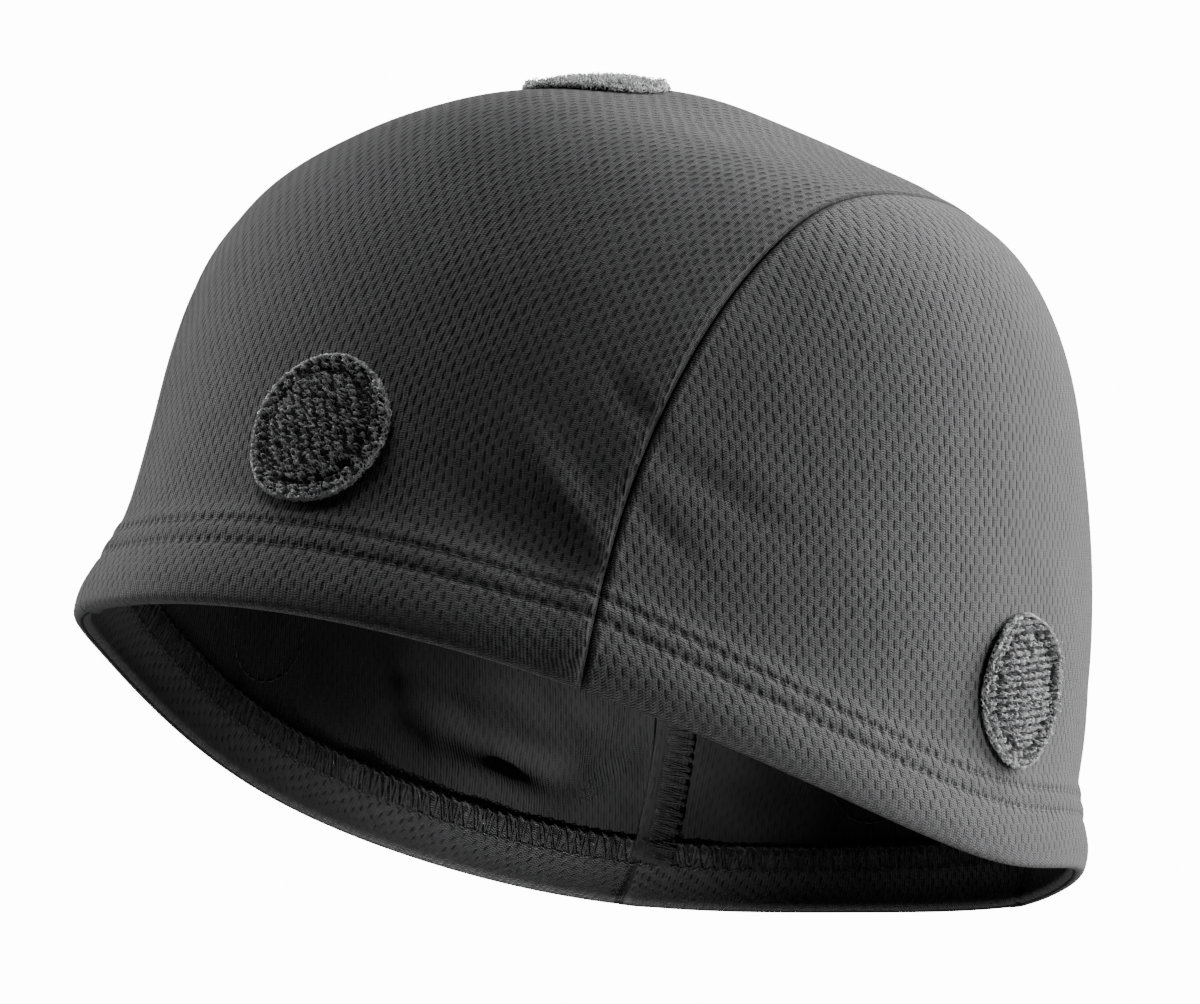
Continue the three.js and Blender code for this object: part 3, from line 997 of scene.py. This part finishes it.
def on_allowance(turn, side, inset, height):
    """Points on a seam's overlocked edges, at insets from the seam towards the mid plane."""
    turn, inset = np.broadcast_arrays(turn, inset)
    skin = cloth(across(turn, side, inset))
    lift = np.maximum(ripple(skin_point(over_head(turn, 0 * turn)), 11, 2.0 + side), 0)
    lift = 2.4 * lift * smooth_step(inset, 1.0, ALLOWANCE_WIDTH)
    return skin["inside"] - skin["normal"] * (height + lift)[..., None]


def make_allowance(side, word):
    """Overlocked edges of the two panels, which lie inside the centre panel along a seam."""
    ends = [float(turns_at(ALLOWANCE_START, side, end)) for end in ("front", "back")]
    turns = np.linspace(*ends, 2000)
    lengths = run_along(skin_point(across(turns, side)))
    stations = np.interp(np.arange(0, lengths[-1], ALLOWANCE_STEP), lengths, turns)[:, None]
    wave = 0.5 * ripple(skin_point(over_head(stations, 0 * stations)), 5, 4.0 + side)
    section = np.array(
        [
            (-0.9, 0.0), (1.0, 0.0), (3.0, 0.1), (4.9, 0.2), (5.3, 0.75),
            (4.9, 1.35), (3.0, 1.4), (1.0, 1.35), (-0.3, 1.1), (-0.9, 0.6),
        ]
    )
    inset = section[:, 0] * ALLOWANCE_WIDTH / 5 + wave * (section[:, 0] > 2)
    ring = on_allowance(stations, side, inset, np.broadcast_to(section[:, 1], inset.shape))
    run = np.interp(stations, turns, lengths) + 0 * inset
    weave = join(inset, run, 0 * inset).reshape(-1, 3)
    nodes = ["centre_panel"]
    make_piece(
        f"seam_allowance_{word}", ring.reshape(-1, 3), tube_faces(ring), [knit_back],
        nodes, attributes={"weave": weave},
    )

    starts = np.arange(0, lengths[-1] - OVERLOCK_STITCH, OVERLOCK_STITCH)[:, None]
    insets = np.array((1.0, 1.4, 2.6, 3.9, 5.0, 5.5, 5.2)) * ALLOWANCE_WIDTH / 5
    heights = np.array((1.2, 1.55, 1.6, 1.6, 1.5, 0.8, 0.1))
    lean = np.linspace(0, 1, len(insets))
    loops = []
    for shift, way in ((0.0, 0.5), (0.2, 0.5), (1.0, -0.5), (0.75, -0.5)):
        wander = 0.15 * np.sin(starts * 2.3 + shift)
        run = starts + (shift + way * lean + wander) * OVERLOCK_STITCH
        turn = np.interp(run, lengths, turns)
        loops.append(on_allowance(turn, side, insets, heights + 0 * run))
    make_threads(f"overlock_threads_{word}", loops, LOOPER_THREAD, 5, looper_thread, nodes)


make_hem_stitches()
make_allowance(1, "left")
make_allowance(-1, "right")


# Loop tape, in millimetres: the pile stands in bunches of loops, in rows a step apart, with more
# loops round the cut edge
BACKING = 0.5
PILE_HEIGHT = 1.3
PILE_STEP = 1.25
BUNCH_LOOPS = 8
FILAMENT = 0.07
RIM_LOOPS = 1200
PATCH_SAMPLE = 13
RING_GROOVE = {"depth": 0.3, "width": 0.55}


def polar(reach, angle):
    return reach * np.cos(angle), reach * np.sin(angle)


class Patch:
    """Place of a round patch: a plane that touches the cloth, and the cloth's height over it."""

    def __init__(self, direction, twist, loose, seed):
        self.middle, self.normal = cloth(direction)["outside"], skin_normal(direction)
        level = np.cross(self.normal, [0, 1, 0])
        if norm(level) < 0.5:
            level = np.cross(self.normal, [0, 0, 1])
        self.aside, self.along = turned_from(unit(level), self.normal, twist)
        self.loose = loose
        self.chance = np.random.default_rng(seed)
        self.phase = self.chance.uniform(0, 2 * np.pi, 4)
        x, y = np.meshgrid(*[np.linspace(-PATCH_SAMPLE, PATCH_SAMPLE, 11)] * 2)
        height = 0 * x
        for _ in range(6):
            point = self.place(x, y, height)
            outside = cloth(unit(point))["outside"]
            height -= norm(point, axis=-1) - norm(outside, axis=-1)
        powers = self.powers(x.ravel(), y.ravel())
        self.shape = np.linalg.lstsq(powers, height.ravel(), rcond=None)[0]

    def place(self, x, y, height):
        parts = ((x, self.aside), (y, self.along), (height, self.normal))
        return self.middle + sum(np.asarray(size)[..., None] * way for size, way in parts)

    @staticmethod
    def powers(x, y):
        return join(*[x**a * y**b for a in range(5) for b in range(5 - a)])

    def rim(self, angle):
        """Radius of the hand-cut edge."""
        wave = 0.012 * np.sin(2 * angle + self.phase[0])
        wave += 0.008 * np.sin(5 * angle + self.phase[1])
        return PATCH_RADIUS * (1 + wave)

    def under(self, x, y):
        """Height of the underside of the backing: sewn down at the ring, loose outside it."""
        reach, angle = np.hypot(x, y), np.arctan2(y, x)
        puff = 0.45 * np.clip(1 - (reach / PATCH_RING) ** 2, 0, 1)
        wave = 0.55 * np.sin(angle + self.phase[2]) + 0.35 * np.sin(3 * angle + self.phase[3])
        edge = np.clip((reach - PATCH_RING) / (PATCH_RADIUS - PATCH_RING), 0, 1.2) ** 1.4
        return self.powers(x, y) @ self.shape + 0.2 + puff + self.loose * (1 + wave) * edge

    def groove(self, reach):
        """How far the ring of stitches draws the face in, from 0 to 1."""
        return swell(reach, PATCH_RING, RING_GROOVE["width"])


def make_tape(patch, node):
    """Round backing of loop tape."""
    sides = 72
    angle = 2 * np.pi * np.arange(sides) / sides
    parts = ((0.06, 0.7, 7), (0.74, 0.82, 5), (0.86, 0.985, 5))
    share = np.concatenate([np.linspace(*part) for part in parts])
    reach = share[:, None] * patch.rim(angle)
    x, y = polar(reach, angle)
    top = patch.under(x, y) + BACKING - RING_GROOVE["depth"] * patch.groove(reach)
    rings = [join(x, y, top)]
    x, y = polar(patch.rim(angle), angle)
    for rise in (0.75, 0.25):
        rings.append(join(x, y, patch.under(x, y) + rise * BACKING)[None])
    x, y = polar(reach[::-1], angle)
    rings.append(join(x, y, patch.under(x, y)))
    places = np.concatenate(rings)
    faces = tube_faces(places, inward=True)
    places = places.reshape(-1, 3)
    reach = np.hypot(places[:, 0], places[:, 1])
    tape = join(places[:, 0], places[:, 1], reach)
    make_piece(
        f"{node}_backing", patch.place(*places.T), faces, [tape_backing], [node],
        attributes={"tape": tape},
    )


def make_pile(patch, node):
    """Rows of small loops, and the woolly cut edge."""
    half = PATCH_RADIUS // PILE_ROW + 1
    columns = np.arange(-half, half + 1) * PILE_ROW
    steps = np.arange(-PATCH_RADIUS, PATCH_RADIUS, PILE_STEP)
    x, y = (np.tile(sites.ravel(), BUNCH_LOOPS) for sites in np.meshgrid(columns, steps))
    count = len(x)
    chance = patch.chance
    x = x + chance.normal(0, 0.36, count)
    y = y + chance.normal(0, 0.2, count)
    reach = np.hypot(x, y)
    kept = (reach < patch.rim(np.arctan2(y, x)) - 0.35) & (patch.groove(reach) < 0.75)
    x, y, reach = x[kept], y[kept], reach[kept]
    count = len(x)
    wild = smooth_step(reach, PATCH_RING, PATCH_RING + 0.6)
    turn = chance.normal(0, 0.5 + 0.9 * wild)
    span = chance.uniform(0.35, 0.85, count)
    tall = PILE_HEIGHT * chance.uniform(0.5, 1.1, count) * (1 - 0.7 * patch.groove(reach))
    lean = chance.normal(0, 0.22, count)

    step = np.linspace(0, 1, 6)
    forward = (step - 0.5) * span[:, None]
    sideways = np.sin(2 * np.pi * step) * 0.2 + np.sin(np.pi * step) * lean[:, None]
    sine, cosine = np.sin(turn)[:, None], np.cos(turn)[:, None]
    x_path = x[:, None] + forward * sine + sideways * cosine
    y_path = y[:, None] + forward * cosine - sideways * sine
    rise = np.sin(np.pi * step) ** 0.7 * tall[:, None]
    height = patch.under(x_path, y_path) + BACKING - 0.1 + rise
    loops = patch.place(x_path, y_path, height)

    angle = chance.uniform(0, 2 * np.pi, RIM_LOOPS)
    swing = chance.uniform(0.1, 0.5, RIM_LOOPS)[:, None]
    sway = chance.normal(0, 0.7, RIM_LOOPS)[:, None]
    high = chance.uniform(-0.2, 0.6, RIM_LOOPS)[:, None]
    arch = np.sin(np.pi * step)
    out = patch.rim(angle)[:, None] - 0.1 - 0.5 * np.maximum(high, 0) + swing * arch
    under = patch.under(*polar(patch.rim(angle), angle))[:, None]
    height = under + (BACKING + 0.5) * high + 0.5 * (1 - step)
    bend = angle[:, None] + (step - 0.5) * sway / PATCH_RADIUS
    edge = patch.place(*polar(out, bend), height)
    make_threads(f"{node}_pile", [loops, edge], FILAMENT, 3, pile_yarn, [node])


def make_ring(patch, node):
    """Ring of stitches that holds a patch, on its face and inside the cap."""
    count = round(2 * np.pi * PATCH_RING / NEEDLE_STITCH)
    share = np.linspace(0.04, 0.96, 7)
    angle = (np.arange(count)[:, None] + share) * 2 * np.pi / count
    x, y = polar(PATCH_RING, angle)
    arch = np.sin(np.pi * (share - share[0]) / (share[-1] - share[0]))
    face = patch.place(x, y, patch.under(x, y) + BACKING - 0.35 + 0.45 * arch)
    skin = cloth(unit(patch.place(x, y, patch.powers(x, y) @ patch.shape)))
    inside = skin["inside"] - skin["normal"] * (0.3 * arch - 0.15)[:, None]
    make_threads(f"{node}_stitches", [face, inside], NEEDLE_THREAD, 5, sewing_thread, [node])


# Where each patch is, the turn of its rows in degrees, and how far its edge stands off the cloth
PATCHES = {
    "patch_top": (top_direction, 5, 0.1),
    "patch_front": (above_rim(0.0, PATCH_HEIGHT), 29, 0.25),
    "patch_back": (above_rim(180.0, PATCH_HEIGHT), -8, 0.7),
    "patch_left": (above_rim(SIDE_PATCH_HEADING, PATCH_HEIGHT), 93, 0.7),
    "patch_right": (above_rim(-SIDE_PATCH_HEADING, PATCH_HEIGHT), 85, 0.7),
}
for seed, (node, placing) in enumerate(PATCHES.items()):
    patch = Patch(*placing, seed)
    make_tape(patch, node)
    make_pile(patch, node)
    make_ring(patch, node)


# Pale floor well below the cap, and soft studio light
FLOOR_DROP = 1.5
FLOOR_SIZE = 4.4
WORLD_LIGHT = 0.01
BACKGROUND_LIGHT = 14.0


def make_stage():
    shader = Shader("pale_floor", roughness=0.9, sheen=0.0)
    place = shader.node("TexCoord").outputs["Object"]
    grain = shader.noise(place, 40.0)
    shader.finish(shader.mix(grain, (0.78, 0.78, 0.78), (0.82, 0.82, 0.82)), grain, 0.05)
    half = FLOOR_SIZE / 2
    mesh = bpy.data.meshes.new("floor")
    level = cad_box[0][2] - FLOOR_DROP
    corners = [(x * half, y * half, level) for x, y in ((-1, -1), (1, -1), (1, 1), (-1, 1))]
    mesh.from_pydata(corners, [], [(0, 1, 2, 3)])
    mesh.materials.append(shader.material)
    put("floor", mesh)


def make_light(name, azimuth, elevation, distance, size, power, spread, aim):
    """Soft square light that faces the cap, from an azimuth like the camera's."""
    away = Vector(towards(azimuth, elevation))
    data = bpy.data.lights.new(name, "AREA")
    data.energy = power
    data.size = size
    data.spread = math.radians(spread)
    light = put(name, data)
    light.location = Vector(aim) + away * distance
    light.rotation_euler = away.to_track_quat("Z", "Y").to_euler()


CAP_MIDDLE = (0, 0, -0.07)
NAPE_INSIDE = (-0.05, 0.08, -0.115)
LIGHTS = table(
    "name azimuth elevation distance size power spread aim",
    ("right_rim", 155, 20, 1.3, 0.9, 42, 180, CAP_MIDDLE),
    ("right_side", 110, 0, 1.3, 0.4, 14, 180, CAP_MIDDLE),
    ("left_rim", -97, 10, 1.3, 0.7, 12.5, 180, CAP_MIDDLE),
    ("left_top", -87, 68, 1.4, 0.8, 19, 180, CAP_MIDDLE),
    ("hollow", 5, -24, 1.0, 0.04, 0.01, 4, NAPE_INSIDE),
)
make_stage()
for light in LIGHTS:
    make_light(**light)
world = bpy.data.worlds.new("studio")
world.use_nodes = True
nodes, links = world.node_tree.nodes, world.node_tree.links
seen = nodes.new("ShaderNodeLightPath")
strength = nodes.new("ShaderNodeMapRange")
strength.inputs["To Min"].default_value = WORLD_LIGHT
strength.inputs["To Max"].default_value = BACKGROUND_LIGHT
links.new(seen.outputs["Is Camera Ray"], strength.inputs["Value"])
links.new(strength.outputs[0], nodes["Background"].inputs["Strength"])
nodes["Background"].inputs["Color"].default_value = (1, 1, 1, 1)
bpy.context.scene.world = world
